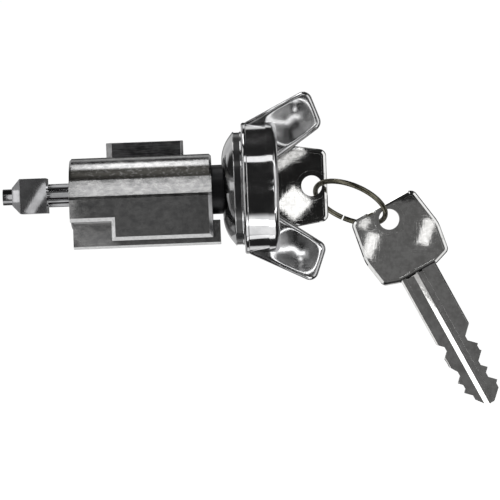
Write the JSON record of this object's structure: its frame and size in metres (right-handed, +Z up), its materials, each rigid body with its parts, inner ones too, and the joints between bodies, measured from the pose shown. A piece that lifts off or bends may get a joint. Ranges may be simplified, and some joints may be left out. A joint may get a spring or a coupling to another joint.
{
  "type": "ignition lock cylinder with keys",
  "caption": "Steering-column lock cylinder with a winged chrome knob, a sprung retaining latch, a drive tail, a key in the lock and a spare key on a wire ring.",
  "frame": {"origin": "on the lock's axis, at the barrel's front face, where the lock seats in the column's bore", "axes": "+X along the lock's axis towards the key, +Z up on the side of the latch, +Y away from the flat side block"},
  "size_m": [0.1219, 0.0328, 0.0798],
  "materials": {
    "casting": "satin",
    "dark_casting": "matte",
    "steel": "satin",
    "dark_steel": "satin",
    "ring_steel": "polished",
    "brass": "satin",
    "chrome": "polished",
    "nickel": "polished"
  },
  "bodies": {
    "housing": {"housing": "casting", "chamber_cover": "steel", "latch_pin": "steel", "latch_spring_1": "steel", "latch_spring_2": "steel", "driver_pin_1": "brass", "driver_pin_2": "brass", "driver_pin_3": "brass", "driver_pin_4": "brass", "driver_pin_5": "brass", "driver_spring_1": "steel", "driver_spring_2": "steel", "driver_spring_3": "steel", "driver_spring_4": "steel", "driver_spring_5": "steel"},
    "latch": {"latch": "dark_steel"},
    "rotor": {"plug": "dark_casting", "key_pin_1": "brass", "key_pin_2": "brass", "key_pin_3": "brass", "key_pin_4": "brass", "key_pin_5": "brass", "tail_shaft": "steel", "tail_pin": "steel", "retaining_clip": "dark_steel", "bezel": "chrome", "knob": "chrome", "knob_pin": "steel"},
    "key": {"key": "nickel"},
    "ring": {"key_ring": "ring_steel"},
    "spare": {"spare_key": "nickel"}
  },
  "joints": [
    {"name": "latch_press", "type": "slide", "parent": "housing", "child": "latch", "axis": [0, 0, -1], "range_m": [0, 0.0036], "stiffness_N_per_m": 250, "springref_m": -0.003, "deforming": ["latch_spring_1", "latch_spring_2"]},
    {"name": "lock_turn", "type": "hinge", "parent": "housing", "child": "rotor", "pos_m": [0, 0, 0], "axis": [-1, 0, 0], "range_deg": [-30, 100]},
    {"name": "key_slide", "type": "slide", "parent": "rotor", "child": "key", "axis": [1, 0, 0], "range_m": [0, 0.044]},
    {"name": "ring_swing", "type": "hinge", "parent": "key", "child": "ring", "pos_m": [0.02603, 0, -0.00054], "axis": [0, -1, 0], "range_deg": [-10, 50]},
    {"name": "spare_key_swing", "type": "hinge", "parent": "ring", "child": "spare", "pos_m": [0.0428, 0, -0.00858], "axis": [0, -1, 0], "range_deg": [-30, 60]}
  ]
}
